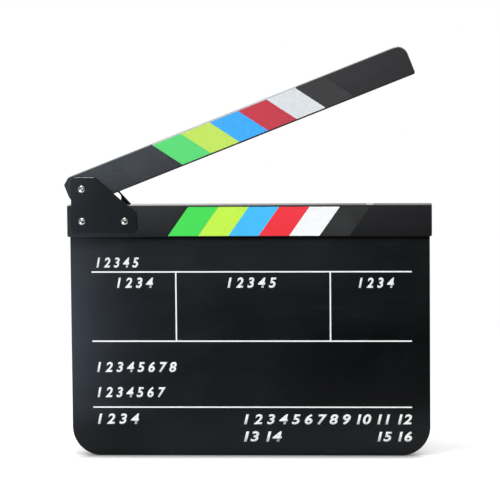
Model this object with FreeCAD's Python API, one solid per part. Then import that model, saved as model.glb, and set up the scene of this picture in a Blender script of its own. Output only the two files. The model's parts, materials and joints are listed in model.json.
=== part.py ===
"""Film clapperboard: an acrylic writing board hung from a striped lower stick,
with a striped upper stick that claps down on it about a bolted hinge.

Frame: +Z up, +X towards the free ends of the sticks, the written face towards -Y.
The origin is the middle of the board's lower edge. Lengths are in millimetres.
"""
import FreeCAD, Part
import math
import os

from FreeCAD import Vector

# Writing board
BOARD_INSET = 1.75              # sides of the board in from the lower stick's ends
BOARD_DROP = 182.9              # height that shows below the lower stick
BOARD_THICKNESS = 3.0
BOARD_CORNER_RADIUS = 24.0
BOARD_EDGE_BREAK = 0.3
TONGUE_BELOW_BOLTS = 1.5        # upper edge of the board under the bolts through the stick
GLUE_GAP = 0.1                  # glue line round the tongue

# Clapper sticks
LOWER_STICK_LENGTH = 300.0
TIP_OVERHANG = 2.0              # upper stick past the lower one at the free ends
STICK_HEIGHT = 26.0
LOWER_STICK_THICKNESS = 15.0
STICK_EDGE_RADIUS = 0.6
STICK_CORNER_RADIUS = 1.2       # sharp-looking corners of both sticks
TIP_RADIUS = 9.2                # upper stick, top corner at its free end
HEAD_CUT_ALONG = 5.3            # upper stick, cut-off top corner at its hinge end
HEAD_CUT_DOWN = 4.3

# Hinge geometry
OPEN_ANGLE = 21.5               # how far the clapper stands open
PIVOT_FROM_END = 12.3           # pivot axis from the hinge ends of the sticks
PIVOT_ABOVE_STICK = 13.6        # pivot axis above the lower stick's top
CLOSED_GAP = 0.3                # left between the sticks when they are shut
FIXING_SPACING = 35.2           # between the two bolts through the lower stick

# Hinge plates, measured from the bolt axes
PLATE_THICKNESS = 1.5
PLATE_LEFT_MARGIN = 8.75
PLATE_TOP_MARGIN = 9.9
PLATE_RIGHT_MARGIN = 10.2
PLATE_BOTTOM_MARGIN = 9.55
FRONT_TOP_LAND = 10.8           # top edge past the pivot, before the slope starts
REAR_TOP_LAND = 17.7
PLATE_TOE_HEIGHT = 15.9         # right edge, below the slope
PLATE_CORNER_RADIUS = 4.5
PLATE_EDGE_RADIUS = 0.4
EYE_DIAMETER = 10.0             # round eye in the rear plate, level with the lower stick's top
EYE_WEB = 1.2                   # left between the eye and the slope

# Bolts with domed heads, lock nuts and washers
BOLT_DIAMETER = 3.0
BOLT_HEAD_DIAMETER = 6.0
BOLT_HEAD_HEIGHT = 1.9
BOLT_HEAD_RIM = 0.4
BOLT_SOCKET_ACROSS = 2.0
BOLT_SOCKET_DEPTH = 1.1
BOLT_POINT_CHAMFER = 0.4
BOLT_OVERHANG = 1.0             # bolt end past its nut
HOLE_CLEARANCE = 0.15           # radial, bolt in plate, stick or washer
THREAD_CLEARANCE = 0.02         # radial, bolt in nut or insert
WASHER_DIAMETER = 7.0
WASHER_THICKNESS = 0.5
NUT_ACROSS = 5.5
NUT_HEX_HEIGHT = 2.4
NUT_CROWN_DIAMETER = 5.0
NUT_CROWN_HEIGHT = 1.6
NUT_CROWN_WALL = 0.35
NUT_LIP_HEIGHT = 0.3
NUT_LIP_WIDTH = 0.3
NUT_CORNER_CHAMFER = 0.3
INSERT_GAP = 0.03               # round the nylon ring inside its crown

# Pivot bush and friction washers
BUSH_WALL = 1.0
BUSH_RUNNING_CLEARANCE = 0.05   # radial, bolt in bush
BUSH_SEAT_CLEARANCE = 0.02      # radial, bush in stick
FRICTION_WASHER_DIAMETER = 14.0
FRICTION_WASHER_THICKNESS = 0.45
FRICTION_WASHER_CLEARANCE = 0.05

# Closing magnets
MAGNET_DIAMETER = 7.0
MAGNET_THICKNESS = 3.0
MAGNET_FROM_END = 249.2         # from the lower stick's hinge end
MAGNET_CLEARANCE = 0.02

# Vinyl stripes
STRIPE_COLOURS = ("green", "yellow", "blue", "red", "white", "black")
LOWER_STRIPE_PITCH = 24.95
UPPER_STRIPE_PITCH = 25.3
STRIPE_SEAM = 0.04              # left between neighbouring stripes
STRIPE_THICKNESS = 0.15
STRIPE_SLANT = 35.2             # degrees from square to the stick
STRIPE_OUTER_MARGIN = 0.1       # from the flat's edge away from the other stick
STRIPE_MEETING_MARGIN = 0.7     # from the flat's edge next to the other stick
LOWER_STRIPES_FROM_END = 91.6   # first stripe at mid height, from the hinge end
UPPER_STRIPES_FROM_END = 88.8

# Places worked out from the sizes above
LOWER_LEFT = -LOWER_STICK_LENGTH / 2
LOWER_BOTTOM = BOARD_DROP
LOWER_TOP = LOWER_BOTTOM + STICK_HEIGHT
LOWER_FACE = LOWER_STICK_THICKNESS / 2
PIVOT_X = LOWER_LEFT + PIVOT_FROM_END
PIVOT_Z = LOWER_TOP + PIVOT_ABOVE_STICK
FIXING_Z = LOWER_BOTTOM + STICK_HEIGHT / 2
TONGUE_HEIGHT = STICK_HEIGHT / 2 - BOLT_DIAMETER / 2 - TONGUE_BELOW_BOLTS

# The heel is round below the pivot axis. No point of it lies further from the axis than the stick's bottom
HEEL_RADIUS = min(PIVOT_FROM_END, PIVOT_ABOVE_STICK - CLOSED_GAP)
UPPER_LEFT = PIVOT_X - HEEL_RADIUS
UPPER_BOTTOM = LOWER_TOP + CLOSED_GAP
UPPER_TOP = UPPER_BOTTOM + STICK_HEIGHT
UPPER_FACE = LOWER_FACE - FRICTION_WASHER_THICKNESS - FRICTION_WASHER_CLEARANCE
PLATE_FACE = LOWER_FACE + PLATE_THICKNESS

BOLT_RADIUS = BOLT_DIAMETER / 2
HOLE_RADIUS = BOLT_RADIUS + HOLE_CLEARANCE
THREAD_RADIUS = BOLT_RADIUS + THREAD_CLEARANCE
BUSH_BORE_RADIUS = BOLT_RADIUS + BUSH_RUNNING_CLEARANCE
BUSH_RADIUS = BUSH_BORE_RADIUS + BUSH_WALL
NUT_HEIGHT = NUT_HEX_HEIGHT + NUT_CROWN_HEIGHT

PIVOT = (PIVOT_X, PIVOT_Z)
LEFT_FIXING = (PIVOT_X, FIXING_Z)
RIGHT_FIXING = (PIVOT_X + FIXING_SPACING, FIXING_Z)
BOLT_PLACES = {"pivot": PIVOT, "left_fixing": LEFT_FIXING, "right_fixing": RIGHT_FIXING}

BACKWARDS = Vector(0, 1, 0)


def rounded_face(corners, y):
    """Flat face in the plane at y. Each corner is x, z and its rounding radius."""
    points = [Vector(x, y, z) for x, z, radius in corners]
    ends = []
    edges = []
    for index, (x, z, radius) in enumerate(corners):
        here = points[index]
        to_last = (points[index - 1] - here).normalize()
        to_next = (points[(index + 1) % len(points)] - here).normalize()
        half_angle = to_last.getAngle(to_next) / 2
        if radius == 0:
            ends.append((here, here))
            continue
        reach = radius / math.tan(half_angle)
        inward = (to_last + to_next).normalize()
        middle = here + inward * (radius / math.sin(half_angle) - radius)
        start = here + to_last * reach
        finish = here + to_next * reach
        edges.append(Part.Arc(start, middle, finish).toShape())
        ends.append((start, finish))
    for index in range(len(ends)):
        leave = ends[index][1]
        arrive = ends[(index + 1) % len(ends)][0]
        edges.append(Part.LineSegment(leave, arrive).toShape())
    return Part.Face(Part.Wire(Part.__sortEdges__(edges)))


def slab(corners, front, back):
    """Plate with the given outline, from y = front to y = back."""
    return rounded_face(corners, front).extrude(BACKWARDS * (back - front))


def rim_edges(solid, y):
    """Edges of a solid that lie wholly in the plane at y."""
    flat = 1e-6
    return [edge for edge in solid.Edges
            if abs(edge.BoundBox.YMin - y) < flat and abs(edge.BoundBox.YMax - y) < flat]


def rod(place, radius, front, back):
    """Round bar along Y at place, which is x and z."""
    return Part.makeCylinder(radius, back - front, Vector(place[0], front, place[1]), BACKWARDS)


def ring(place, outer, inner, front, back):
    """Flat ring along Y at place."""
    return rod(place, outer, front, back).cut(rod(place, inner, front, back))


def hexagon(place, across, front, back):
    """Six-sided bar along Y at place, with the distance between two flats."""
    radius = across / math.sqrt(3)
    corners = []
    for side in range(6):
        angle = math.radians(60 * side)
        corners.append((place[0] + radius * math.cos(angle), place[1] + radius * math.sin(angle), 0))
    return slab(corners, front, back)


def turned(place, seat, profile):
    """Solid turned about the Y axis at place, from radius and distance behind seat."""
    points = [Vector(place[0] + radius, seat + depth, place[1]) for radius, depth in profile]
    face = Part.Face(Part.makePolygon(points + points[:1]))
    return face.revolve(Vector(place[0], 0, place[1]), BACKWARDS, 360)


def swung_open(shape):
    """Turns a piece of the shut clapper to the angle where it stands open."""
    copy = shape.copy()
    copy.rotate(Vector(PIVOT_X, 0, PIVOT_Z), Vector(0, -1, 0), OPEN_ANGLE)
    return copy


def slate_board():
    """Board with two round lower corners. Its upper edge is the tongue."""
    side = LOWER_STICK_LENGTH / 2 - BOARD_INSET
    top = LOWER_BOTTOM + TONGUE_HEIGHT
    outline = [
        (-side, 0, BOARD_CORNER_RADIUS),
        (side, 0, BOARD_CORNER_RADIUS),
        (side, top, 0),
        (-side, top, 0),
    ]
    face = BOARD_THICKNESS / 2
    board = slab(outline, -face, face)
    return board.makeChamfer(BOARD_EDGE_BREAK, rim_edges(board, -face) + rim_edges(board, face))


def eased_stick(outline, face):
    """Stick with rounded long edges, between y = -face and y = face."""
    stick = slab(outline, -face, face)
    return stick.makeFillet(STICK_EDGE_RADIUS, rim_edges(stick, -face) + rim_edges(stick, face))


def lower_clapstick():
    """Fixed stick, grooved from below for the board and bored for the plate bolts."""
    right = LOWER_LEFT + LOWER_STICK_LENGTH
    outline = [
        (LOWER_LEFT, LOWER_BOTTOM, STICK_CORNER_RADIUS),
        (right, LOWER_BOTTOM, STICK_CORNER_RADIUS),
        (right, LOWER_TOP, STICK_CORNER_RADIUS),
        (LOWER_LEFT, LOWER_TOP, STICK_CORNER_RADIUS),
    ]
    stick = eased_stick(outline, LOWER_FACE)
    groove_side = BOARD_THICKNESS / 2 + GLUE_GAP
    groove_depth = TONGUE_HEIGHT + GLUE_GAP
    groove = Part.makeBox(LOWER_STICK_LENGTH, 2 * groove_side, groove_depth,
                          Vector(LOWER_LEFT, -groove_side, LOWER_BOTTOM))
    stick = stick.cut(groove)
    for place in (LEFT_FIXING, RIGHT_FIXING):
        stick = stick.cut(rod(place, HOLE_RADIUS, -LOWER_FACE, LOWER_FACE))
    return stick.cut(magnet_pocket(LOWER_TOP - MAGNET_THICKNESS))


def upper_clapstick():
    """Moving stick, shut. Its heel is round below the pivot, so that it can open."""
    right = LOWER_LEFT + LOWER_STICK_LENGTH + TIP_OVERHANG
    outline = [
        (UPPER_LEFT, UPPER_BOTTOM, HEEL_RADIUS),
        (right, UPPER_BOTTOM, STICK_CORNER_RADIUS),
        (right, UPPER_TOP, TIP_RADIUS),
        (UPPER_LEFT + HEAD_CUT_ALONG, UPPER_TOP, STICK_CORNER_RADIUS),
        (UPPER_LEFT, UPPER_TOP - HEAD_CUT_DOWN, STICK_CORNER_RADIUS),
    ]
    stick = eased_stick(outline, UPPER_FACE)
    stick = stick.cut(rod(PIVOT, BUSH_RADIUS + BUSH_SEAT_CLEARANCE, -UPPER_FACE, UPPER_FACE))
    return stick.cut(magnet_pocket(UPPER_BOTTOM))


def magnet_place(bottom):
    return Vector(LOWER_LEFT + MAGNET_FROM_END, 0, bottom)


def magnet_pocket(bottom):
    return Part.makeCylinder(MAGNET_DIAMETER / 2 + MAGNET_CLEARANCE, MAGNET_THICKNESS,
                             magnet_place(bottom))


def magnet(bottom):
    """Disc magnet that lies flush in its pocket."""
    return Part.makeCylinder(MAGNET_DIAMETER / 2, MAGNET_THICKNESS, magnet_place(bottom))


def plate_slope(top_land):
    """Upper and lower end of a plate's slope, before its corners are rounded."""
    slope_top = (PIVOT_X + top_land, PIVOT_Z + PLATE_TOP_MARGIN)
    slope_foot = (RIGHT_FIXING[0] + PLATE_RIGHT_MARGIN, FIXING_Z - PLATE_BOTTOM_MARGIN + PLATE_TOE_HEIGHT)
    return slope_top, slope_foot


def hinge_plate(inner, outer, top_land):
    """Sloped plate over both sticks, with its rounded rim on the outer face."""
    slope_top, slope_foot = plate_slope(top_land)
    left = PIVOT_X - PLATE_LEFT_MARGIN
    bottom = FIXING_Z - PLATE_BOTTOM_MARGIN
    outline = [
        (left, bottom, PLATE_CORNER_RADIUS),
        (slope_foot[0], bottom, PLATE_CORNER_RADIUS),
        (*slope_foot, PLATE_CORNER_RADIUS),
        (*slope_top, PLATE_CORNER_RADIUS),
        (left, slope_top[1], PLATE_CORNER_RADIUS),
    ]
    front, back = sorted((inner, outer))
    plate = slab(outline, front, back)
    plate = plate.makeFillet(PLATE_EDGE_RADIUS, rim_edges(plate, outer))
    for place in BOLT_PLACES.values():
        plate = plate.cut(rod(place, HOLE_RADIUS, front, back))
    return plate


def rear_hinge_plate():
    """Plate behind the sticks, with an eye that stands on the lower stick and clears the slope by its web."""
    slope_top, slope_foot = plate_slope(REAR_TOP_LAND)
    run = slope_foot[0] - slope_top[0]
    fall = slope_top[1] - slope_foot[1]
    radius = EYE_DIAMETER / 2
    height = LOWER_TOP + radius
    slope_at_eye = slope_top[0] + run * (slope_top[1] - height) / fall
    place = (slope_at_eye - (radius + EYE_WEB) * math.hypot(run, fall) / fall, height)
    return hinge_plate(LOWER_FACE, PLATE_FACE, REAR_TOP_LAND).cut(rod(place, radius, LOWER_FACE, PLATE_FACE))


def bolt(place):
    """Bolt with a domed head and a six-sided socket, from the front plate to past its nut."""
    shank_end = PLATE_FACE + WASHER_THICKNESS + NUT_HEIGHT + BOLT_OVERHANG
    length = PLATE_FACE + shank_end
    shank = turned(place, -PLATE_FACE, [
        (0, 0),
        (BOLT_RADIUS, 0),
        (BOLT_RADIUS, length - BOLT_POINT_CHAMFER),
        (BOLT_RADIUS - BOLT_POINT_CHAMFER, length),
        (0, length),
    ])
    head_radius = BOLT_HEAD_DIAMETER / 2
    crown = BOLT_HEAD_HEIGHT - BOLT_HEAD_RIM
    dome_radius = (head_radius ** 2 + crown ** 2) / (2 * crown)
    head_front = -PLATE_FACE - BOLT_HEAD_HEIGHT
    dome = Part.makeSphere(dome_radius, Vector(place[0], head_front + dome_radius, place[1]))
    head = rod(place, head_radius, head_front, -PLATE_FACE).common(dome)
    socket = hexagon(place, BOLT_SOCKET_ACROSS, head_front, head_front + BOLT_SOCKET_DEPTH)
    return shank.fuse(head.cut(socket)).removeSplitter()


def washer(place):
    return ring(place, WASHER_DIAMETER / 2, HOLE_RADIUS, PLATE_FACE, PLATE_FACE + WASHER_THICKNESS)


def crown_recess_radius():
    return NUT_CROWN_DIAMETER / 2 - NUT_CROWN_WALL


def locknut(place):
    """Six-sided nut with a round crown, hollow for its nylon ring and closed by a lip."""
    seat = PLATE_FACE + WASHER_THICKNESS
    corner_radius = NUT_ACROSS / math.sqrt(3)
    chamfered = turned(place, seat, [
        (0, 0),
        (corner_radius - NUT_CORNER_CHAMFER, 0),
        (corner_radius, NUT_CORNER_CHAMFER),
        (corner_radius, NUT_HEX_HEIGHT - NUT_CORNER_CHAMFER),
        (corner_radius - NUT_CORNER_CHAMFER, NUT_HEX_HEIGHT),
        (0, NUT_HEX_HEIGHT),
    ])
    body = hexagon(place, NUT_ACROSS, seat, seat + NUT_HEX_HEIGHT).common(chamfered)
    crown = rod(place, NUT_CROWN_DIAMETER / 2, seat + NUT_HEX_HEIGHT, seat + NUT_HEIGHT)
    nut = body.fuse(crown).removeSplitter()
    nut = nut.cut(rod(place, THREAD_RADIUS, seat, seat + NUT_HEIGHT))
    recess_end = seat + NUT_HEIGHT - NUT_LIP_HEIGHT
    nut = nut.cut(rod(place, crown_recess_radius(), seat + NUT_HEX_HEIGHT, recess_end))
    return nut.cut(rod(place, crown_recess_radius() - NUT_LIP_WIDTH, recess_end, seat + NUT_HEIGHT))


def locknut_insert(place):
    """Nylon ring that grips the thread inside the nut's crown."""
    start = PLATE_FACE + WASHER_THICKNESS + NUT_HEX_HEIGHT
    end = start + NUT_CROWN_HEIGHT - NUT_LIP_HEIGHT
    return ring(place, crown_recess_radius() - INSERT_GAP, THREAD_RADIUS, start, end - INSERT_GAP)


def pivot_bush():
    """Tube fixed in the upper stick that turns on the pivot bolt."""
    return ring(PIVOT, BUSH_RADIUS, BUSH_BORE_RADIUS, -UPPER_FACE, UPPER_FACE)


def friction_washer(side):
    """Thin ring between the upper stick and one hinge plate: side is -1 in front, 1 behind."""
    seat = side * UPPER_FACE
    outer = side * (UPPER_FACE + FRICTION_WASHER_THICKNESS)
    front, back = sorted((seat, outer))
    return ring(PIVOT, FRICTION_WASHER_DIAMETER / 2, HOLE_RADIUS, front, back)


def stripes(first_middle, pitch, bottom, top, lean, face):
    """Row of slanted strips on a stick's front face, each with the name of its colour."""
    middle = (bottom + top) / 2
    slope = lean * math.tan(math.radians(STRIPE_SLANT))
    row = {}
    for index, colour in enumerate(STRIPE_COLOURS):
        left = first_middle + index * pitch + STRIPE_SEAM / 2
        right = left + pitch - STRIPE_SEAM
        outline = []
        for x, z in ((left, bottom), (right, bottom), (right, top), (left, top)):
            outline.append((x + slope * (z - middle), z, 0))
        row[colour] = slab(outline, -face - STRIPE_THICKNESS, -face)
    return row


def lower_stripes():
    bottom = LOWER_BOTTOM + STICK_EDGE_RADIUS + STRIPE_OUTER_MARGIN
    top = LOWER_TOP - STICK_EDGE_RADIUS - STRIPE_MEETING_MARGIN
    first_middle = LOWER_LEFT + LOWER_STRIPES_FROM_END
    return stripes(first_middle, LOWER_STRIPE_PITCH, bottom, top, 1, LOWER_FACE)


def upper_stripes():
    bottom = UPPER_BOTTOM + STICK_EDGE_RADIUS + STRIPE_MEETING_MARGIN
    top = UPPER_TOP - STICK_EDGE_RADIUS - STRIPE_OUTER_MARGIN
    first_middle = UPPER_LEFT + UPPER_STRIPES_FROM_END
    return stripes(first_middle, UPPER_STRIPE_PITCH, bottom, top, -1, UPPER_FACE)


def slate_pieces():
    """Everything that stays with the board."""
    pieces = {
        "slate_board": slate_board(),
        "lower_clapstick": lower_clapstick(),
        "lower_magnet": magnet(LOWER_TOP - MAGNET_THICKNESS),
        "front_hinge_plate": hinge_plate(-LOWER_FACE, -PLATE_FACE, FRONT_TOP_LAND),
        "rear_hinge_plate": rear_hinge_plate(),
    }
    for name, place in BOLT_PLACES.items():
        pieces[name + "_bolt"] = bolt(place)
        pieces[name + "_washer"] = washer(place)
        pieces[name + "_locknut"] = locknut(place)
        pieces[name + "_locknut_insert"] = locknut_insert(place)
    for colour, stripe in lower_stripes().items():
        pieces["lower_" + colour + "_stripe"] = stripe
    return pieces


def clapper_pieces():
    """Everything that swings about the pivot bolt, standing open."""
    shut = {
        "upper_clapstick": upper_clapstick(),
        "upper_magnet": magnet(UPPER_BOTTOM),
        "pivot_bush": pivot_bush(),
        "front_friction_washer": friction_washer(-1),
        "rear_friction_washer": friction_washer(1),
    }
    for colour, stripe in upper_stripes().items():
        shut["upper_" + colour + "_stripe"] = stripe
    return {name: swung_open(shape) for name, shape in shut.items()}


def main():
    os.makedirs("parts", exist_ok=True)
    for name, shape in {**slate_pieces(), **clapper_pieces()}.items():
        shape.exportStep("parts/" + name + ".step")


main()
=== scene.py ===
"""Dresses the packed clapperboard: the finish of every solid, the print on the board and the stage.

Metres, +Z up, +X towards the free ends of the sticks, the written face towards -Y.
"""
import json
import math

import bpy
from bpy.props import FloatProperty, FloatVectorProperty, PointerProperty
from mathutils import Matrix, Vector


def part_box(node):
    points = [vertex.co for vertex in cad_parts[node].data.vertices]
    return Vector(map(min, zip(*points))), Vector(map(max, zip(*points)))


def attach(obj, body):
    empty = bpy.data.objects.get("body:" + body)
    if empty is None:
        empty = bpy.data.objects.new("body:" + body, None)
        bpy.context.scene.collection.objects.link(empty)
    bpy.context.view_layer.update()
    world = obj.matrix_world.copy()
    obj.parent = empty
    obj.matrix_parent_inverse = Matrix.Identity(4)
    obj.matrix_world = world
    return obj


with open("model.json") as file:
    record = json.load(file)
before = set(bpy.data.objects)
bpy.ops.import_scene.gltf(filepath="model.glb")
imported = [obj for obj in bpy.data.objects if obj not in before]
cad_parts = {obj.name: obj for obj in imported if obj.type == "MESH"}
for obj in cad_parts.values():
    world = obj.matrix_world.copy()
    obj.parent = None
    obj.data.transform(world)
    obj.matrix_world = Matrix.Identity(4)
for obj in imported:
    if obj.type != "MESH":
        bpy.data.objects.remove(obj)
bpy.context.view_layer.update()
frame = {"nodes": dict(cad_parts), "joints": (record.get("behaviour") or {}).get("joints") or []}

bl_info = {
    "name": "Clapperboard",
    "version": (1, 0, 0),
    "blender": (4, 5, 0),
    "location": "View3D > Sidebar > Clapperboard",
    "description": "Finishes, board print and studio stage of a film clapperboard",
    "category": "Object",
}

MM = 0.001
NODES = frame["nodes"]
BOARD_LOW, BOARD_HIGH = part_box("slate_board")
STICK_LOW, STICK_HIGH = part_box("lower_clapstick")
STICK_HEIGHT = STICK_HIGH.z - STICK_LOW.z
PLATE_LOW, PLATE_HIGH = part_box("front_hinge_plate")
HINGE = frame["joints"][0]
PIVOT = Vector(HINGE["pos_m"])
OPEN_ANGLE = math.radians(-HINGE["range_deg"][0])

STRIPE_COLOURS = ("green", "yellow", "blue", "red", "white", "black")
BOLT_NAMES = ("pivot", "left_fixing", "right_fixing")

# Painted sheen and painted shade on the board, across it and up it. Each pair goes from none of the mark to
# all of it.
SHEEN_ACROSS, SHEEN_UP = (105 * MM, 55 * MM), (130 * MM, 158 * MM)
LOWER_LEFT_SHADE_ACROSS, LOWER_LEFT_SHADE_UP = (-60 * MM, -110 * MM), (40 * MM, 25 * MM)
MIDDLE_RIGHT_SHADE_ACROSS, MIDDLE_RIGHT_SHADE_FROM, MIDDLE_RIGHT_SHADE_TO = (0 * MM, 60 * MM), (30 * MM, 45 * MM), (125 * MM, 100 * MM)
SHEEN_SHARE = 0.22
MIDDLE_RIGHT_SHADE_SHARE = 0.6

# The painted shadow on the board below the lower stick: where it gets shallower, its depth there, and where
# it is darkest.
CORNER_ACROSS = (-130 * MM, -85 * MM)
CORNER_DEPTH = (12 * MM, 4.5 * MM)
CORNER_DARKEST = 1.5 * MM

# Marks along the sticks, from the pivot: dust and painted sheen, their tone, the polished edges' gloss, a
# dimmer stretch by the hinge and the clapper's painted highlight rim. The pairs of limits go from none to
# all.
DUST_AND_SHEEN_SPAN = (50 * MM, 260 * MM)
DUST_AND_SHEEN_LIMITS = ((-13 * MM, 8 * MM), (360 * MM, 245 * MM))
TONE_SPAN = (20 * MM, 240 * MM)
POLISH_SPAN = (50 * MM, 220 * MM)
DIMMED_SPAN, DIMMED_SHARE = (34 * MM, 48 * MM), 0.68
RIM_LIMITS = ((67.6 * MM, 68.6 * MM), (195.5 * MM, 194.5 * MM))

# Marks at the sticks' edges: distances from the bottom, the top, the front and the nearest polished edge. The
# dark line along the bottom is painted shade, and the rim along the top front is a painted highlight.
SHADED_FOOT = (0.8 * MM, 2.4 * MM)
RIM_DOWN = (1.3 * MM, 0.9 * MM)
RIM_BACK = (2.0 * MM, 1.4 * MM)
POLISH_REACH = (0.5 * MM, 0.2 * MM)

# Marks on the hinge plates: the bare steel line along the top, which is a painted highlight, and how far the
# painted light at the upper left reaches from the left.
BARE_HIGHLIGHT_LINE = (0.45 * MM, 0.25 * MM)
LIT_CORNER_REACH = 25 * MM


# Settings

def colour(name, description, default):
    return FloatVectorProperty(name=name, description=description, default=default,
                               subtype="COLOR", size=3, min=0.0, max=1.0)


def length(name, description, default):
    return FloatProperty(name=name, description=description, default=default,
                         unit="LENGTH", min=0.0, precision=5)


def share(name, description, default):
    return FloatProperty(name=name, description=description, default=default,
                         subtype="FACTOR", min=0.0, max=1.0)


def turn(name, description, degrees):
    return FloatProperty(name=name, description=description, default=math.radians(degrees),
                         subtype="ANGLE", unit="ROTATION")


class FinishSettings(bpy.types.PropertyGroup):
    """Colours of the plain pieces"""
    board: colour("Board", "Satin black sheet", (0.0046, 0.0056, 0.0069))
    # The chalk colour is also what the painted sheen on the board, the lower stick and the hinge plates pales
    # towards.
    chalk_and_sheen: colour("Wiped marks", "Faint grey left by wiped writing", (0.031, 0.030, 0.033))
    stick: colour("Sticks", "Satin black paint", (0.0030, 0.0033, 0.0038))
    # The clapper's dust colour also carries its painted sheen.
    dust_and_sheen: colour("Dust", "Cool dust on the clapper", (0.034, 0.041, 0.050))
    # The pale rim is a painted highlight.
    rim: colour("Pale rim", "Edge of the clapper above its stripes", (0.48, 0.49, 0.51))
    wood: colour("Bare wood", "Wood that shows where paint is rubbed off", (0.13, 0.075, 0.045))
    hinge: colour("Hinge plates", "Black powder coat", (0.0016, 0.0036, 0.0046))
    bare_metal: colour("Bare plate", "Steel under rubbed powder coat", (0.55, 0.55, 0.56))
    nickel: colour("Bright plate", "Nickel on bolts and magnets", (0.57, 0.565, 0.55))
    zinc: colour("Zinc plate", "Zinc on nuts and washers", (0.60, 0.61, 0.63))
    nylon: colour("Nylon", "Natural nylon", (0.76, 0.75, 0.70))
    brass: colour("Brass", "Turned pivot bush", (0.78, 0.58, 0.26))
    # The grime colour also paints shade into the sheltered corners of the metal.
    grime_and_shade: colour("Grime", "Dirt in sheltered corners", (0.020, 0.018, 0.016))


class StripeSettings(bpy.types.PropertyGroup):
    """Colours of the film stripes"""
    lower_green: colour("Lower green", "First stripe on the fixed stick", (0.047, 0.735, 0.076))
    lower_yellow: colour("Lower yellow", "Second stripe on the fixed stick", (0.565, 0.915, 0.055))
    lower_blue: colour("Lower blue", "Third stripe on the fixed stick", (0.042, 0.513, 0.96))
    lower_red: colour("Lower red", "Fourth stripe on the fixed stick", (0.92, 0.018, 0.034))
    lower_white: colour("Lower white", "Fifth stripe on the fixed stick", (0.965, 0.963, 0.96))
    lower_black: colour("Lower black", "Sixth stripe on the fixed stick", (0.0180, 0.0178, 0.0178))
    # The clapper's stripe colours are the fixed stick's colours dulled and greyed: painted shade and a
    # painted grey sheen.
    upper_green: colour("Upper green", "First stripe on the clapper", (0.086, 0.692, 0.162))
    upper_yellow: colour("Upper yellow", "Second stripe on the clapper", (0.543, 0.780, 0.090))
    upper_blue: colour("Upper blue", "Third stripe on the clapper", (0.027, 0.393, 0.915))
    upper_red: colour("Upper red", "Fourth stripe on the clapper", (0.553, 0.023, 0.047))
    upper_white: colour("Upper white", "Fifth stripe on the clapper", (0.703, 0.729, 0.750))
    upper_black: colour("Upper black", "Sixth stripe on the clapper", (0.0195, 0.0188, 0.0195))
    haze: colour("Haze", "Thin dust on the stripes", (0.30, 0.31, 0.33))


class PrintSettings(bpy.types.PropertyGroup):
    """Rules and numbers printed on the board"""
    ink: colour("Ink", "White print", (0.98, 0.985, 0.985))
    thin_ink: colour("Thin ink", "Print where the board shows through", (0.25, 0.25, 0.26))
    ink_thickness: length("Ink thickness", "How far the print stands off the board", 0.04 * MM)
    rule_width: length("Rule width", "Thickness of the ruled lines", 1.17 * MM)
    rule_left_margin: length("Rule left margin", "Board's side to the rules", 17.25 * MM)
    rule_right_margin: length("Rule right margin", "Rules to the board's side", 14.95 * MM)
    upper_rule: length("Upper rule", "Height above the board's lower edge", 153.15 * MM)
    middle_rule: length("Middle rule", "Height above the board's lower edge", 95.5 * MM)
    lower_rule: length("Lower rule", "Height above the board's lower edge", 40.35 * MM)
    left_divider: length("Left divider", "Place across the board, from its left side", 87.05 * MM)
    right_divider: length("Right divider", "Place across the board, from its left side", 214.55 * MM)
    number_slant: share("Number slant", "How far the numbers lean, as a share of their height", 0.2)
    number_weight: share("Number weight", "How much the numbers' strokes are thickened", 0.030)


class StageSettings(bpy.types.PropertyGroup):
    """Camera, light and floor"""
    camera_distance: length("Camera distance", "From the camera to the middle of the object", 3.0)
    camera_azimuth: turn("Camera azimuth", "Turn of the camera to the object's right", 3.47)
    camera_elevation: turn("Camera elevation", "Height angle of the camera", 6.47)
    camera_roll: turn("Camera roll", "Clockwise tilt of the camera", 0.49)
    camera_lens: FloatProperty(name="Lens", description="Focal length on a 36 mm sensor",
                               default=262.2, min=1.0, unit="CAMERA")
    ambient: share("Ambient light", "Light that comes evenly from all sides", 0.44)
    floor: colour("Floor", "White sweep", (0.82, 0.82, 0.82))
    floor_glow: share("Floor glow", "Brightness that the sweep adds where it is seen", 0.48)
    shadow_reach: length("Shadow reach", "How far the object's foot darkens the sweep", 30 * MM)
    fade_start: length("Fade start", "Where the sweep starts to fade into the background", 0.45)
    fade_end: length("Fade end", "Where the sweep is all background", 0.9)


# Node helpers

def put(tree, socket, value):
    """Links a socket to another node's output, or sets its value."""
    if isinstance(value, bpy.types.NodeSocket):
        tree.links.new(value, socket)
    else:
        socket.default_value = value


def node(tree, kind, sockets=None, **properties):
    made = tree.nodes.new(kind)
    for name, value in properties.items():
        setattr(made, name, value)
    for key, value in (sockets or {}).items():
        put(tree, made.inputs[key], value)
    return made


def maths(tree, operation, first, second=0.0, third=0.0):
    made = node(tree, "ShaderNodeMath", {0: first, 1: second, 2: third}, operation=operation)
    return made.outputs[0]


def remap(tree, value, low, high, to_low=0.0, to_high=1.0):
    """Stretches low to high onto to_low to to_high, and stops there."""
    made = node(tree, "ShaderNodeMapRange",
                {"Value": value, "From Min": low, "From Max": high, "To Min": to_low, "To Max": to_high})
    return made.outputs["Result"]


def spread(tree, mask, least, most):
    """Value that goes from least to most over a mask."""
    return remap(tree, mask, 0.0, 1.0, least, most)


def product(tree, first, *others):
    for other in others:
        first = maths(tree, "MULTIPLY", first, other)
    return first


def blend(tree, factor, first, second):
    """Mixes two colours."""
    made = node(tree, "ShaderNodeMix", {0: factor, 6: first, 7: second}, data_type="RGBA")
    return made.outputs[2]


def noise(tree, vector, scale, detail=2.0, roughness=0.5, distortion=0.0):
    made = node(tree, "ShaderNodeTexNoise",
                {"Vector": vector, "Scale": scale, "Detail": detail, "Roughness": roughness,
                 "Distortion": distortion})
    return made.outputs["Fac"]


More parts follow.
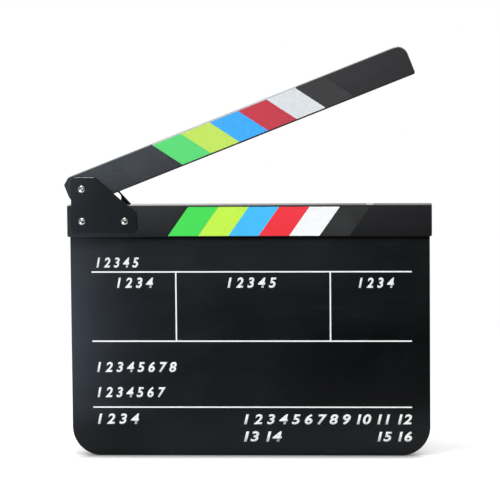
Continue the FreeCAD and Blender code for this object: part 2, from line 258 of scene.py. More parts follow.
def mapped(tree, vector, place=(0, 0, 0), rotation=(0, 0, 0), scale=(1, 1, 1)):
    made = node(tree, "ShaderNodeMapping",
                {"Vector": vector, "Location": place, "Rotation": rotation, "Scale": scale})
    return made.outputs["Vector"]


def rgba(values):
    return (*values, 1.0)


BLACK = rgba((0, 0, 0))


# Effects shared by several finishes

def effect(name, inputs, output):
    """Empty shader node group with named inputs and one output.

    An input without a default is a vector. Gives the tree, the input sockets and the output socket.
    """
    tree = bpy.data.node_groups.new(name, "ShaderNodeTree")
    for socket_name, default in inputs.items():
        kind = "NodeSocketVector" if default is None else "NodeSocketFloat"
        socket = tree.interface.new_socket(socket_name, in_out="INPUT", socket_type=kind)
        if default is not None:
            socket.default_value = default
    tree.interface.new_socket(output, in_out="OUTPUT", socket_type="NodeSocketFloat")
    entry = tree.nodes.new("NodeGroupInput")
    leave = tree.nodes.new("NodeGroupOutput")
    return tree, entry.outputs, leave.inputs[output]


def rubbed_edges():
    """Mask along sharp edges, broken into patches."""
    tree, given, result = effect(
        "Rubbed edges", {"Vector": None, "Radius": 0.5 * MM, "Patch Scale": 200.0, "Amount": 1.0}, "Mask")
    softened = node(tree, "ShaderNodeBevel", {"Radius": given["Radius"]}, samples=6)
    geometry = tree.nodes.new("ShaderNodeNewGeometry")
    facing = node(tree, "ShaderNodeVectorMath", {0: softened.outputs[0], 1: geometry.outputs["Normal"]},
                  operation="DOT_PRODUCT")
    edge = remap(tree, facing.outputs["Value"], 0.985, 0.86)
    patches = remap(tree, noise(tree, given["Vector"], given["Patch Scale"], 5.0, 0.62), 0.42, 0.62)
    put(tree, result, product(tree, edge, patches, given["Amount"]))
    return tree


def fine_peel():
    """Height of a fine pebbled skin, as paint, powder coat and film have."""
    tree, given, result = effect("Fine peel", {"Vector": None, "Scale": 1500.0}, "Height")
    fine = noise(tree, given["Vector"], given["Scale"], 2.0, 0.55)
    coarse = noise(tree, given["Vector"], maths(tree, "MULTIPLY", given["Scale"], 0.31), 1.0)
    put(tree, result, maths(tree, "MULTIPLY_ADD", coarse, 0.6, fine))
    return tree


def smudges():
    """Soft cloudy mask of handling marks."""
    tree, given, result = effect("Smudges", {"Vector": None, "Scale": 18.0}, "Mask")
    clouds = noise(tree, given["Vector"], given["Scale"], 6.0, 0.58, 0.6)
    put(tree, result, remap(tree, clouds, 0.36, 0.68))
    return tree


def hairlines():
    """Mask of sparse hairline scratches in three directions across X and Z."""
    tree, given, result = effect("Hairlines", {"Vector": None, "Scale": 1.0, "Amount": 1.0}, "Mask")
    where = noise(tree, given["Vector"], maths(tree, "MULTIPLY", given["Scale"], 22.0), 2.0)
    lines = None
    for angle, start, full in ((24.0, 0.645, 0.70), (-52.0, 0.655, 0.71), (83.0, 0.66, 0.72)):
        drawn_out = mapped(tree, given["Vector"], rotation=(0, math.radians(angle), 0),
                           scale=(14.0, 1.0, 1500.0))
        line = remap(tree, noise(tree, drawn_out, given["Scale"], 1.0), start, full)
        lines = line if lines is None else maths(tree, "MAXIMUM", lines, line)
    put(tree, result, product(tree, lines, remap(tree, where, 0.46, 0.66), given["Amount"]))
    return tree


def specks():
    """Mask of fine settled dust."""
    tree, given, result = effect("Specks", {"Vector": None}, "Mask")
    put(tree, result, remap(tree, noise(tree, given["Vector"], 650.0, 3.0, 0.6), 0.3, 0.7))
    return tree


def long_grain():
    """Height of fine fibres that run along X."""
    tree, given, result = effect("Long grain", {"Vector": None}, "Height")
    fibres = mapped(tree, given["Vector"], scale=(18.0, 900.0, 900.0))
    bands = mapped(tree, given["Vector"], scale=(5.0, 160.0, 160.0))
    fine = noise(tree, fibres, 1.0, 3.0, 0.6)
    wide = noise(tree, bands, 1.0, 3.0, 0.5, 0.4)
    put(tree, result, maths(tree, "MULTIPLY_ADD", wide, 0.8, fine))
    return tree


EFFECTS = {}


def shared(tree, maker, **inputs):
    """Places a shared effect in a material and gives its output."""
    if maker.__name__ not in EFFECTS:
        EFFECTS[maker.__name__] = maker()
    made = node(tree, "ShaderNodeGroup", node_tree=EFFECTS[maker.__name__])
    for name, value in inputs.items():
        put(tree, made.inputs[name.replace("_", " ").title()], value)
    return made.outputs[0]


# Finishes

def finish(name, **constants):
    """New material with constants on its shader's sockets.

    Gives the material, its node tree, its shader and Object coordinates.
    """
    material = bpy.data.materials.new(name)
    material.use_nodes = True
    tree = material.node_tree
    shader = tree.nodes["Principled BSDF"]
    for socket, value in constants.items():
        shader.inputs[socket.replace("_", " ")].default_value = value
    coordinates = tree.nodes.new("ShaderNodeTexCoord").outputs["Object"]
    return material, tree, shader, coordinates


def raise_bump(tree, shader, height, distance):
    made = node(tree, "ShaderNodeBump", {"Height": height, "Strength": 1.0, "Distance": distance})
    put(tree, shader.inputs["Normal"], made.outputs["Normal"])


def along_stick(tree, coordinates, open_angle):
    """Coordinates about the pivot with X along the stick."""
    middle = mapped(tree, coordinates, place=-PIVOT)
    return mapped(tree, middle, rotation=(0, open_angle, 0))


def satin_sheet(settings):
    """Black sheet with wiped marks, a painted sheen below the stick, and painted shade under the stick, at
    the lower left and at the middle right.
    """
    material, tree, shader, place = finish("satin_black_sheet", Specular_IOR_Level=0.146)
    clouds = shared(tree, smudges, vector=place, scale=14.0)
    wiped = shared(tree, smudges, vector=mapped(tree, place, scale=(5.0, 1.0, 22.0)), scale=1.6)
    scratches = shared(tree, hairlines, vector=place)
    edges = shared(tree, rubbed_edges, vector=place, patch_scale=60.0, amount=0.6)
    chalky = product(tree, clouds, wiped, 0.22)
    worn = maths(tree, "MAXIMUM", chalky, product(tree, scratches, 0.35))
    worn = maths(tree, "MAXIMUM", worn, edges)
    sheet = blend(tree, worn, rgba(settings.board), rgba(settings.chalk_and_sheen))
    across, _, height = node(tree, "ShaderNodeSeparateXYZ", {0: place}).outputs
    # Painted sheen: the sheet pales towards the chalk colour in a band below the lower stick.
    pale_share = product(tree, remap(tree, height, *SHEEN_UP), remap(tree, across, *SHEEN_ACROSS),
                      SHEEN_SHARE)
    paled = blend(tree, pale_share, sheet, rgba(settings.chalk_and_sheen))
    # Painted shadow: the sheet goes to black just below the lower stick.
    depth = remap(tree, across, *CORNER_ACROSS, *CORNER_DEPTH)
    corner = remap(tree, maths(tree, "SUBTRACT", STICK_LOW.z, height), depth, CORNER_DARKEST)
    # Painted shade: the sheet goes towards black at the lower left and at the middle right.
    lower_left_shade = product(tree, remap(tree, across, *LOWER_LEFT_SHADE_ACROSS), remap(tree, height, *LOWER_LEFT_SHADE_UP))
    middle_right_shade = product(tree, remap(tree, height, *MIDDLE_RIGHT_SHADE_FROM), remap(tree, height, *MIDDLE_RIGHT_SHADE_TO),
                     remap(tree, across, *MIDDLE_RIGHT_SHADE_ACROSS), MIDDLE_RIGHT_SHADE_SHARE)
    painted_shade = maths(tree, "MAXIMUM", maths(tree, "MAXIMUM", lower_left_shade, middle_right_shade), corner)
    put(tree, shader.inputs["Base Color"], blend(tree, painted_shade, paled, BLACK))
    gloss = spread(tree, clouds, 0.33, 0.42)
    put(tree, shader.inputs["Roughness"], maths(tree, "MULTIPLY_ADD", scratches, 0.12, gloss))
    raise_bump(tree, shader, shared(tree, fine_peel, vector=place, scale=1800.0), 0.004 * MM)
    return material


def stick_dust_and_sheen(tree, along, height, bottom, hinge_dust_and_sheen, end_dust_and_sheen, foot_dust_and_sheen):
    """Mask of dust and painted sheen on a stick: thick at the hinge and the top, thin at the free end and the
    bottom, and kept off a painted shade line along the bottom edge.
    """
    thick = remap(tree, along, *DUST_AND_SHEEN_SPAN, hinge_dust_and_sheen, end_dust_and_sheen)
    for limit in DUST_AND_SHEEN_LIMITS:
        thick = product(tree, thick, remap(tree, along, *limit))
    dimmed = remap(tree, along, *DIMMED_SPAN, DIMMED_SHARE, 1.0)
    # Painted shade along the bottom edge, and painted light that grows towards the top.
    foot = remap(tree, height, *(bottom + up for up in SHADED_FOOT))
    rise = remap(tree, height, bottom, bottom + STICK_HEIGHT, foot_dust_and_sheen, 1.0)
    return product(tree, thick, dimmed, foot, rise)


def pale_rim(tree, along, across, height, top):
    """Mask of the painted highlight on the rounded front edge above the clapper's stripes."""
    rim = product(tree, remap(tree, height, *(top - down for down in RIM_DOWN)),
                  remap(tree, across, *(STICK_LOW.y + back for back in RIM_BACK)))
    for limit in RIM_LIMITS:
        rim = product(tree, rim, remap(tree, along, *limit))
    return rim


def painted_wood(name, settings, sheen, open_angle, bottom, dust_and_sheen_colour, dust_and_sheen, polished, end_polish,
                 rimmed=False):
    """Black paint over wood, with dust and painted sheen, and polished along some of its edges. Heights are
    from the pivot.

    Three shares give the dust and painted sheen at the hinge, at the free end and at the bottom. polished
    holds the heights of the polished edges, and end_polish is what is left of their gloss at the free end.
    """
    material, tree, shader, coordinates = finish(
        name, Coat_Roughness=0.12, Coat_IOR=1.28, Specular_IOR_Level=sheen)
    place = along_stick(tree, coordinates, open_angle)
    grain = shared(tree, long_grain, vector=place)
    clouds = shared(tree, smudges, vector=place, scale=24.0)
    edges = shared(tree, rubbed_edges, vector=place, radius=0.7 * MM, patch_scale=130.0, amount=0.45)
    scratches = shared(tree, hairlines, vector=place, scale=1.2, amount=0.8)
    fine = shared(tree, specks, vector=place)
    along, across, height = node(tree, "ShaderNodeSeparateXYZ", {0: place}).outputs
    # Dust and painted sheen: the paint pales where the light falls, towards the hinge and the top.
    pale_share = product(tree, stick_dust_and_sheen(tree, along, height, bottom, *dust_and_sheen), spread(tree, fine, 0.7, 1.3))
    pale_share = maths(tree, "MULTIPLY_ADD", remap(tree, grain, 0.6, 1.3), 0.08, pale_share)
    tone = blend(tree, remap(tree, along, *TONE_SPAN), rgba(dust_and_sheen_colour), rgba(settings.chalk_and_sheen))
    paint = blend(tree, pale_share, rgba(settings.stick), tone)
    paint = blend(tree, product(tree, scratches, 0.3), paint, rgba(settings.chalk_and_sheen))
    # Painted highlight along the clapper's top front edge.
    if rimmed:
        rim = pale_rim(tree, along, across, height, bottom + STICK_HEIGHT)
        paint = blend(tree, rim, paint, rgba(settings.rim))
    put(tree, shader.inputs["Base Color"], blend(tree, edges, paint, rgba(settings.wood)))
    gloss = spread(tree, clouds, 0.42, 0.54)
    put(tree, shader.inputs["Roughness"], maths(tree, "MULTIPLY_ADD", edges, 0.25, gloss))
    from_edge = [maths(tree, "ABSOLUTE", maths(tree, "SUBTRACT", height, edge)) for edge in polished]
    slick = remap(tree, maths(tree, "MINIMUM", from_edge[0], from_edge[-1]), *POLISH_REACH)
    put(tree, shader.inputs["Coat Weight"],
        product(tree, slick, remap(tree, along, *POLISH_SPAN, 1.0, end_polish)))
    raise_bump(tree, shader, grain, 0.02 * MM)
    return material


def film(name, base, open_angle, haze):
    """Stripe of self-adhesive film."""
    material, tree, shader, coordinates = finish(name, Specular_IOR_Level=0.3)
    place = along_stick(tree, coordinates, open_angle)
    clouds = shared(tree, smudges, vector=place, scale=30.0)
    scratches = shared(tree, hairlines, vector=place, scale=1.4, amount=0.7)
    grain = shared(tree, long_grain, vector=place)
    paled = maths(tree, "MAXIMUM", product(tree, clouds, 0.03), product(tree, scratches, 0.2))
    put(tree, shader.inputs["Base Color"], blend(tree, paled, rgba(base), rgba(haze)))
    put(tree, shader.inputs["Roughness"], spread(tree, clouds, 0.34, 0.46))
    peel = shared(tree, fine_peel, vector=place, scale=1300.0)
    raise_bump(tree, shader, maths(tree, "MULTIPLY_ADD", grain, 0.8, peel), 0.006 * MM)
    return material


def powder_coat(settings):
    """Fine black coat, bare along the top edge as a painted highlight, and paler at the upper left as painted
    light.
    """
    material, tree, shader, place = finish("black_powder_coat", Specular_IOR_Level=0.12)
    clouds = shared(tree, smudges, vector=place, scale=40.0)
    peel = shared(tree, fine_peel, vector=place, scale=2200.0)
    edges = shared(tree, rubbed_edges, vector=place, patch_scale=240.0, amount=0.3)
    along, _, height = node(tree, "ShaderNodeSeparateXYZ", {0: place}).outputs
    # Painted highlight: bare steel along the top edge only.
    bare_highlight_line = remap(tree, height, *(PLATE_HIGH.z - down for down in BARE_HIGHLIGHT_LINE), 0.0, 0.5)
    edges = maths(tree, "MAXIMUM", edges, bare_highlight_line)
    # Painted light: the coat pales towards the upper left, with fine dust specks over all of it.
    raised = maths(tree, "POWER", remap(tree, height, PLATE_LOW.z, PLATE_HIGH.z), 1.5)
    upper_left_light = product(tree, raised, remap(tree, along, PLATE_LOW.x, PLATE_LOW.x + LIT_CORNER_REACH, 0.46, 0.0))
    fine = shared(tree, specks, vector=place)
    light_and_specks = maths(tree, "ADD", upper_left_light, spread(tree, fine, 0.0, 0.16))
    coat = blend(tree, light_and_specks, rgba(settings.hinge), rgba(settings.chalk_and_sheen))
    put(tree, shader.inputs["Base Color"], blend(tree, edges, coat, rgba(settings.bare_metal)))
    put(tree, shader.inputs["Metallic"], product(tree, edges, 0.8))
    put(tree, shader.inputs["Roughness"], spread(tree, clouds, 0.40, 0.52))
    raise_bump(tree, shader, peel, 0.02 * MM)
    return material


def plated_metal(name, base, settings, gloss, mottling):
    """Plated or turned metal, with grime and painted shade where its corners are sheltered."""
    material, tree, shader, place = finish(name, Metallic=1.0)
    clouds = shared(tree, smudges, vector=place, scale=420.0)
    scratches = shared(tree, hairlines, vector=place, scale=9.0)
    # Grime and painted shade: occlusion darkens sheltered corners and sockets.
    shelter = node(tree, "ShaderNodeAmbientOcclusion", {"Distance": 1.2 * MM}, samples=6)
    grime_and_shade_mask = remap(tree, shelter.outputs["AO"], 0.88, 0.45, 0.0, 0.8)
    dull = [channel * 0.6 for channel in base]
    tone = blend(tree, product(tree, clouds, mottling), rgba(base), rgba(dull))
    put(tree, shader.inputs["Base Color"], blend(tree, grime_and_shade_mask, tone, rgba(settings.grime_and_shade)))
    rough = spread(tree, clouds, gloss, gloss + 0.12)
    put(tree, shader.inputs["Roughness"], maths(tree, "MULTIPLY_ADD", scratches, 0.15, rough))
    raise_bump(tree, shader, shared(tree, fine_peel, vector=place, scale=4000.0), 0.002 * MM)
    return material


def natural_nylon(settings):
    """Milky nylon that lets a little light in."""
    material, tree, shader, place = finish(
        "natural_nylon", Subsurface_Weight=0.25, Subsurface_Radius=(0.6 * MM, 0.5 * MM, 0.4 * MM),
        Subsurface_Scale=1.0)
    clouds = shared(tree, smudges, vector=place, scale=300.0)
    put(tree, shader.inputs["Base Color"],
        blend(tree, product(tree, clouds, 0.2), rgba(settings.nylon), rgba(settings.zinc)))
    put(tree, shader.inputs["Roughness"], spread(tree, clouds, 0.38, 0.5))
    raise_bump(tree, shader, shared(tree, fine_peel, vector=place, scale=3000.0), 0.004 * MM)
    return material


def white_ink(settings):
    """Print that lets a little of the board through where it is thin."""
    material, tree, shader, place = finish("white_ink")
    clouds = shared(tree, smudges, vector=place, scale=90.0)
    peel = shared(tree, fine_peel, vector=place, scale=2600.0)
    thin = remap(tree, peel, 0.55, 1.05, 0.06, 0.0)
    put(tree, shader.inputs["Base Color"], blend(tree, thin, rgba(settings.ink), rgba(settings.thin_ink)))
    put(tree, shader.inputs["Roughness"], spread(tree, clouds, 0.45, 0.6))
    raise_bump(tree, shader, peel, 0.006 * MM)
    return material


def dress(material, *names):
    """Gives the named solids a finish in place of their plain one."""
    for name in names:
        slots = NODES[name].data.materials
        slots.clear()
        slots.append(material)


# Modelling helpers

def start_afresh():
    if bpy.context.object is not None and bpy.context.object.mode != "OBJECT":
        bpy.ops.object.mode_set(mode="OBJECT")
    bpy.ops.object.select_all(action="DESELECT")


def settle(piece, material):
    """Applies a printed piece's place, inks it and fixes it to the board."""
    bpy.ops.object.transform_apply(location=True, rotation=True, scale=True)
    piece.data.materials.clear()
    piece.data.materials.append(material)
    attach(piece, "slate")


def thicken(piece, thickness):
    """Raises a flat piece off the board, towards the viewer."""
    layer = piece.modifiers.new("ink", "SOLIDIFY")
    layer.thickness = thickness
    layer.offset = 1.0
    bpy.ops.object.modifier_apply(modifier=layer.name)


def model_rule(name, left, right, bottom, top, thickness, material):
    """Ruled line: a flat strip, raised by the ink's thickness, with softened upper edges."""
    start_afresh()
    bpy.ops.mesh.primitive_plane_add(size=1.0, rotation=(math.pi / 2, 0, 0))
    strip = bpy.context.object
    strip.name = name
    bpy.ops.object.transform_apply(location=True, rotation=True, scale=True)
    bpy.ops.object.mode_set(mode="EDIT")
    bpy.ops.mesh.select_all(action="SELECT")
    bpy.ops.transform.resize(value=(right - left, 1.0, top - bottom))
    bpy.ops.transform.translate(value=((left + right) / 2, BOARD_LOW.y, (bottom + top) / 2))
    bpy.ops.mesh.extrude_region_move(TRANSFORM_OT_translate={"value": (0, -thickness, 0)})
    bpy.ops.mesh.bevel(offset=thickness * 0.6, segments=2, affect="EDGES")
    bpy.ops.mesh.select_all(action="SELECT")
    bpy.ops.mesh.normals_make_consistent(inside=False)
    bpy.ops.object.mode_set(mode="OBJECT")
    settle(strip, material)


def model_numbers(name, digits, left, right, bottom, top, settings, material):
    """Row of slanted numbers that fills the given space on the board."""
    start_afresh()
    bpy.ops.object.text_add(rotation=(math.pi / 2, 0, 0))
    row = bpy.context.object
    row.name = name
    row.data.body = digits
    row.data.shear = settings.number_slant
    row.data.offset = settings.number_weight
    row.data.resolution_u = 6
    bpy.ops.object.convert(target="MESH")
    bpy.ops.object.transform_apply(location=True, rotation=True, scale=True)
    corners = [vertex.co for vertex in row.data.vertices]
    low = Vector([min(corner[axis] for corner in corners) for axis in range(3)])
    high = Vector([max(corner[axis] for corner in corners) for axis in range(3)])
    bpy.ops.object.mode_set(mode="EDIT")
    bpy.ops.mesh.select_all(action="SELECT")
    bpy.ops.transform.translate(value=(-low.x, BOARD_LOW.y, -low.z))
    stretch = ((right - left) / (high.x - low.x), 1.0, (top - bottom) / (high.z - low.z))
    bpy.ops.transform.resize(value=stretch, center_override=(0, 0, 0))
    bpy.ops.transform.translate(value=(left, 0, bottom))
    bpy.ops.object.mode_set(mode="OBJECT")
    thicken(row, settings.ink_thickness)
    settle(row, material)


# Operators

class CLAPPERBOARD_OT_board(bpy.types.Operator):
    """Gives the writing board its satin black sheet"""
    bl_idname = "clapperboard.board"
    bl_label = "Board"

    def execute(self, context):
        dress(satin_sheet(context.scene.clapperboard_finish), "slate_board")
        return {"FINISHED"}


class CLAPPERBOARD_OT_sticks(bpy.types.Operator):
    """Paints both clapper sticks"""
    bl_idname = "clapperboard.sticks"
    bl_label = "Sticks"

    def execute(self, context):
        settings = context.scene.clapperboard_finish
        bottom = STICK_LOW.z - PIVOT.z
        meeting = STICK_HIGH.z - PIVOT.z
        top = meeting + STICK_HEIGHT
        lower = painted_wood("painted_lower_stick", settings, sheen=0.20, open_angle=0.0,
                             bottom=bottom, dust_and_sheen_colour=settings.chalk_and_sheen, dust_and_sheen=(0.70, 0.28, 0.06),
                             polished=(bottom, meeting), end_polish=0.25)
        upper = painted_wood("painted_upper_stick", settings, sheen=0.28, open_angle=OPEN_ANGLE,
                             bottom=meeting, dust_and_sheen_colour=settings.dust_and_sheen, dust_and_sheen=(1.18, 0.50, 0.48),
                             polished=(top,), end_polish=1.0, rimmed=True)
        dress(lower, "lower_clapstick")
        dress(upper, "upper_clapstick")
        return {"FINISHED"}


class CLAPPERBOARD_OT_stripes(bpy.types.Operator):
    """Colours the film stripes on both sticks"""
    bl_idname = "clapperboard.stripes"
    bl_label = "Stripes"

    def execute(self, context):
        settings = context.scene.clapperboard_stripes
        for stick, open_angle in (("lower_", 0.0), ("upper_", OPEN_ANGLE)):
            for name in STRIPE_COLOURS:
                stripe = stick + name
                base = getattr(settings, stripe)
                dress(film(stripe + "_film", base, open_angle, settings.haze), stripe + "_stripe")
        return {"FINISHED"}


class CLAPPERBOARD_OT_hinge(bpy.types.Operator):
    """Coats both hinge plates"""
    bl_idname = "clapperboard.hinge"
    bl_label = "Hinge plates"

    def execute(self, context):
        dress(powder_coat(context.scene.clapperboard_finish), "front_hinge_plate", "rear_hinge_plate")
        return {"FINISHED"}


class CLAPPERBOARD_OT_fasteners(bpy.types.Operator):
    """Plates the bolts, nuts and washers, and finishes the nylon rings"""
    bl_idname = "clapperboard.fasteners"
    bl_label = "Bolts and nuts"

    def execute(self, context):
        settings = context.scene.clapperboard_finish
        nickel = plated_metal("bright_nickel", settings.nickel, settings, gloss=0.14, mottling=0.25)
        zinc = plated_metal("zinc_plate", settings.zinc, settings, gloss=0.26, mottling=0.5)
        nylon = natural_nylon(settings)
        for name in BOLT_NAMES:
            dress(nickel, name + "_bolt")
            dress(zinc, name + "_washer", name + "_locknut")
            dress(nylon, name + "_locknut_insert")
        dress(nylon, "front_friction_washer", "rear_friction_washer")
        return {"FINISHED"}


class CLAPPERBOARD_OT_pivot(bpy.types.Operator):
    """Finishes the pivot bush and the closing magnets"""
    bl_idname = "clapperboard.pivot"
    bl_label = "Bush and magnets"

    def execute(self, context):
        settings = context.scene.clapperboard_finish
        brass = plated_metal("turned_brass", settings.brass, settings, gloss=0.22, mottling=0.4)
        nickel = plated_metal("magnet_nickel", settings.nickel, settings, gloss=0.10, mottling=0.2)
        dress(brass, "pivot_bush")
        dress(nickel, "lower_magnet", "upper_magnet")
        return {"FINISHED"}


class CLAPPERBOARD_OT_rules(bpy.types.Operator):
    """Models the ruled lines that are printed on the board"""
    bl_idname = "clapperboard.rules"
    bl_label = "Board rules"

    def execute(self, context):
        settings = context.scene.clapperboard_print
        ink = white_ink(settings)
        left = BOARD_LOW.x + settings.rule_left_margin
        right = BOARD_HIGH.x - settings.rule_right_margin
        half = settings.rule_width / 2
        thickness = settings.ink_thickness
        for name in ("upper", "middle", "lower"):
            height = BOARD_LOW.z + getattr(settings, name + "_rule")
            model_rule(name + "_rule", left, right, height - half, height + half, thickness, ink)
        bottom = BOARD_LOW.z + settings.middle_rule + half
        top = BOARD_LOW.z + settings.upper_rule - half
        for name in ("left", "right"):
            middle = BOARD_LOW.x + getattr(settings, name + "_divider")
            model_rule(name + "_divider", middle - half, middle + half, bottom, top, thickness, ink)
        return {"FINISHED"}


# Each row of numbers: its digits, and where it starts, ends, stands and reaches up to, in millimetres.
NUMBER_ROWS = {
    "title_numbers": ("1 2 3 4 5", -126.8, -91.6, 156.75, 165.3),
    "left_box_numbers": ("1 2 3 4", -110.0, -80.0, 139.8, 148.5),
    "middle_box_numbers": ("1 2 3 4 5", -18.5, 21.9, 139.8, 148.5),
    "right_box_numbers": ("1 2 3 4", 89.7, 118.8, 139.6, 148.2),
    "first_line_numbers": ("1 2 3 4 5 6 7 8", -127.4, -61.2, 69.5, 78.3),
    "second_line_numbers": ("1 2 3 4 5 6 7", -127.3, -70.5, 48.4, 57.3),
    "third_line_numbers": ("1 2 3 4", -127.4, -92.9, 26.15, 35.0),
    "long_row_numbers": ("1 2 3 4 5 6 7 8 9 10 11 12", -5.8, 133.2, 25.85, 34.6),
    "short_row_left_numbers": ("13 14", -6.0, 25.5, 11.5, 20.15),
    "short_row_right_numbers": ("15 16", 104.6, 133.2, 11.7, 20.1),
}


class CLAPPERBOARD_OT_numbers(bpy.types.Operator):
    """Models the rows of numbers that are printed on the board"""
    bl_idname = "clapperboard.numbers"
    bl_label = "Board numbers"

    def execute(self, context):
        settings = context.scene.clapperboard_print
        ink = bpy.data.materials.get("white_ink") or white_ink(settings)
        for name, (digits, *edges) in NUMBER_ROWS.items():
            left, right, bottom, top = (edge * MM for edge in edges)
            model_numbers(name, digits, left, right, bottom, top, settings, ink)
        return {"FINISHED"}


# Each softbox, aimed at LIT_POINT: its place, width and height in metres, its power in watts and its tint.
LIT_POINT = (0, 0, 0.15)
SOFTBOXES = {
    "overhead_softbox": ((-0.2, -0.25, 1.35), 0.4, 0.4, 6.5, (1, 1, 1)),
    "left_softbox": ((-0.33, -1.2, 0.35), 0.35, 0.7, 3.4, (0.85, 0.94, 1.0)),
    "front_fill": ((0.4, -2.2, 1.6), 1.5, 1.2, 15.5, (1.0, 0.99, 0.98)),
}

# Each card that only mirrors show: its two opposite corners in metres, and its glow.
CARDS = {
    "front_flag": ((-0.165, -0.165, 0.0), (0.6, -0.165, 0.215), (0, 0, 0)),
    "high_flag": ((-0.45, -0.35, 0.42), (0.35, -0.35, 0.9), (0.15, 0.14, 0.13)),
    "left_flag": ((-0.45, -0.4, 0.0), (-0.45, 0.15, 0.7), (0.40, 0.38, 0.36)),
    "right_flag": ((0.35, -0.57, 0.0), (0.35, 0.15, 0.7), (0.30, 0.29, 0.28)),
    "left_glow": ((-0.29, -0.165, 0.020), (-0.165, -0.165, 0.142), (8.0, 9.9, 12.8)),
}

FLOOR_SIZE = 60.0
# The painted contact shadow: how open the floor is where it is darkest and where it is all light, and what is
# left where it is darkest.
FLOOR_OPENNESS = (0.55, 0.91)
DARKEST_FLOOR = 0.22
CAMERA_AIM = Vector((0.26 * MM, 0, 171.08 * MM))


def seen_directly(tree):
    """1 for rays from the camera, a mirror or glass, and 0 for rays that carry light."""
    path = tree.nodes.new("ShaderNodeLightPath").outputs
    mirrored = maths(tree, "MAXIMUM", path["Is Glossy Ray"], path["Is Transmission Ray"])
    return maths(tree, "MAXIMUM", path["Is Camera Ray"], mirrored)


def light_world(settings):
    """White surroundings that light the object only with the ambient share."""
    world = bpy.data.worlds.new("studio_white")
    world.use_nodes = True
    tree = world.node_tree
    background = tree.nodes["Background"]
    background.inputs["Color"].default_value = (1, 1, 1, 1)
    put(tree, background.inputs["Strength"],
        maths(tree, "MULTIPLY_ADD", seen_directly(tree), 1.0 - settings.ambient, settings.ambient))
    bpy.context.scene.world = world


def lay_floor(settings):
    """White sweep that takes the shadow near the object and fades into the background further out. Its
    darkening at the object's foot is a painted shadow from occlusion.
    """
    start_afresh()
    bpy.ops.mesh.primitive_plane_add(size=FLOOR_SIZE)
    floor = bpy.context.object
    floor.name = "floor"
    material = bpy.data.materials.new("white_sweep")
    material.use_nodes = True
    tree = material.node_tree
    tree.nodes.remove(tree.nodes["Principled BSDF"])
    seen = seen_directly(tree)
    coordinates = tree.nodes.new("ShaderNodeTexCoord").outputs["Object"]
    away = node(tree, "ShaderNodeVectorMath", {0: coordinates}, operation="LENGTH").outputs["Value"]
    # Painted contact shadow: occlusion darkens the sweep near the object.
    shelter = node(tree, "ShaderNodeAmbientOcclusion", {"Distance": settings.shadow_reach}, samples=8)
    open_sky = remap(tree, shelter.outputs["AO"], *FLOOR_OPENNESS, DARKEST_FLOOR, 1.0)
    shaded = blend(tree, open_sky, BLACK, rgba(settings.floor))
    matt = node(tree, "ShaderNodeBsdfDiffuse", {"Color": shaded})
    glow = node(tree, "ShaderNodeEmission", {"Strength": product(tree, open_sky, settings.floor_glow, seen)})
    near = node(tree, "ShaderNodeAddShader", {0: matt.outputs[0], 1: glow.outputs[0]})
    white = node(tree, "ShaderNodeEmission", {"Strength": 1.0})
    fade = product(tree, seen, remap(tree, away, settings.fade_start, settings.fade_end))
    mixed = node(tree, "ShaderNodeMixShader", {0: fade, 1: near.outputs[0], 2: white.outputs[0]})
    put(tree, tree.nodes["Material Output"].inputs["Surface"], mixed.outputs[0])
    floor.data.materials.append(material)


def hang_softbox(name, place, width, height, power, tint):
    """Soft lamp that the camera doesn't show."""
    start_afresh()
    bpy.ops.object.light_add(type="AREA", location=place)
    lamp = bpy.context.object
    lamp.name = name
    lamp.rotation_euler = (Vector(LIT_POINT) - Vector(place)).to_track_quat("-Z", "Y").to_euler()
    lamp.data.shape = "RECTANGLE"
    lamp.data.size = width
    lamp.data.size_y = height
    lamp.data.energy = power
    lamp.data.color = tint
    lamp.visible_camera = False


def stand_card(name, low, high, glow):
    """Upright card between two corners that only mirrors show."""
    start_afresh()
    bpy.ops.mesh.primitive_plane_add(size=1.0, rotation=(math.pi / 2, 0, 0))
    card = bpy.context.object
    card.name = name
    across, depth, tall = (b - a for a, b in zip(low, high))
    card.rotation_euler.z = math.atan2(depth, across)
    card.scale = (math.hypot(across, depth), tall, 1.0)
    card.location = [(a + b) / 2 for a, b in zip(low, high)]
    card.visible_camera = False
    card.visible_diffuse = False
    card.visible_shadow = False
    card.visible_transmission = False
    material = bpy.data.materials.new(name)
    material.use_nodes = True
    shine = node(material.node_tree, "ShaderNodeEmission", {"Color": rgba(glow)})
    put(material.node_tree, material.node_tree.nodes["Material Output"].inputs["Surface"], shine.outputs[0])
    card.data.materials.append(material)


def place_camera(settings):
    """Camera that looks at CAMERA_AIM from the set angles, then rolls."""
    level = math.cos(settings.camera_elevation)
    back = Vector((math.sin(settings.camera_azimuth) * level,
                   -math.cos(settings.camera_azimuth) * level,
                   math.sin(settings.camera_elevation)))
    start_afresh()
    bpy.ops.object.camera_add()
    camera = bpy.context.object
    camera.data.sensor_width = 36.0
    camera.data.lens = settings.camera_lens
    camera.data.clip_end = 100.0
    turned = (-back).to_track_quat("-Z", "Y").to_matrix().to_4x4()
    camera.matrix_world = (Matrix.Translation(CAMERA_AIM + back * settings.camera_distance) @ turned
                           @ Matrix.Rotation(-settings.camera_roll, 4, "Z"))
    bpy.context.scene.camera = camera


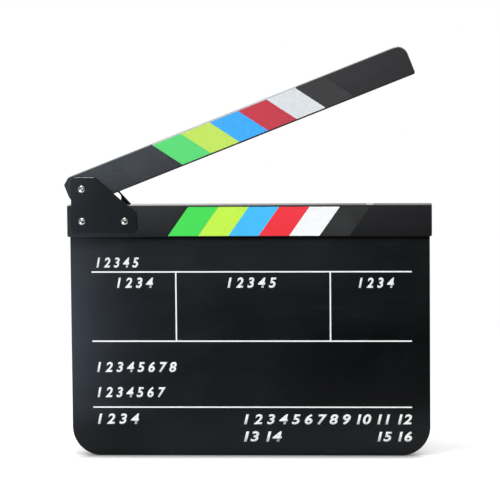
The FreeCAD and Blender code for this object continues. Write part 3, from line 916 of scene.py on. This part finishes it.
class CLAPPERBOARD_OT_stage(bpy.types.Operator):
    """Sets up the white floor, the soft light and the camera"""
    bl_idname = "clapperboard.stage"
    bl_label = "Stage"

    def execute(self, context):
        settings = context.scene.clapperboard_stage
        light_world(settings)
        lay_floor(settings)
        for name, softbox in SOFTBOXES.items():
            hang_softbox(name, *softbox)
        for name, card in CARDS.items():
            stand_card(name, *card)
        place_camera(settings)
        context.scene.view_settings.view_transform = "Standard"
        return {"FINISHED"}


class CLAPPERBOARD_PT_sidebar(bpy.types.Panel):
    """Lists the pieces of the clapperboard and their settings"""
    bl_idname = "CLAPPERBOARD_PT_sidebar"
    bl_label = "Clapperboard"
    bl_space_type = "VIEW_3D"
    bl_region_type = "UI"
    bl_category = "Clapperboard"

    def draw(self, context):
        for operator in OPERATORS:
            self.layout.operator(operator.bl_idname)
        for pointer, settings in SETTINGS.items():
            box = self.layout.box()
            box.label(text=settings.__doc__)
            for name in settings.__annotations__:
                box.prop(getattr(context.scene, pointer), name)


SETTINGS = {
    "clapperboard_finish": FinishSettings,
    "clapperboard_stripes": StripeSettings,
    "clapperboard_print": PrintSettings,
    "clapperboard_stage": StageSettings,
}
OPERATORS = (
    CLAPPERBOARD_OT_board,
    CLAPPERBOARD_OT_sticks,
    CLAPPERBOARD_OT_stripes,
    CLAPPERBOARD_OT_hinge,
    CLAPPERBOARD_OT_fasteners,
    CLAPPERBOARD_OT_pivot,
    CLAPPERBOARD_OT_rules,
    CLAPPERBOARD_OT_numbers,
    CLAPPERBOARD_OT_stage,
)
CLASSES = (*SETTINGS.values(), *OPERATORS, CLAPPERBOARD_PT_sidebar)


def register():
    for made in CLASSES:
        bpy.utils.register_class(made)
    for pointer, settings in SETTINGS.items():
        setattr(bpy.types.Scene, pointer, PointerProperty(type=settings))


def unregister():
    for pointer in SETTINGS:
        delattr(bpy.types.Scene, pointer)
    for made in reversed(CLASSES):
        bpy.utils.unregister_class(made)


def main():
    register()
    bpy.ops.clapperboard.board()
    bpy.ops.clapperboard.sticks()
    bpy.ops.clapperboard.stripes()
    bpy.ops.clapperboard.hinge()
    bpy.ops.clapperboard.fasteners()
    bpy.ops.clapperboard.pivot()
    bpy.ops.clapperboard.rules()
    bpy.ops.clapperboard.numbers()
    bpy.ops.clapperboard.stage()


if __name__ == "__main__":
    main()
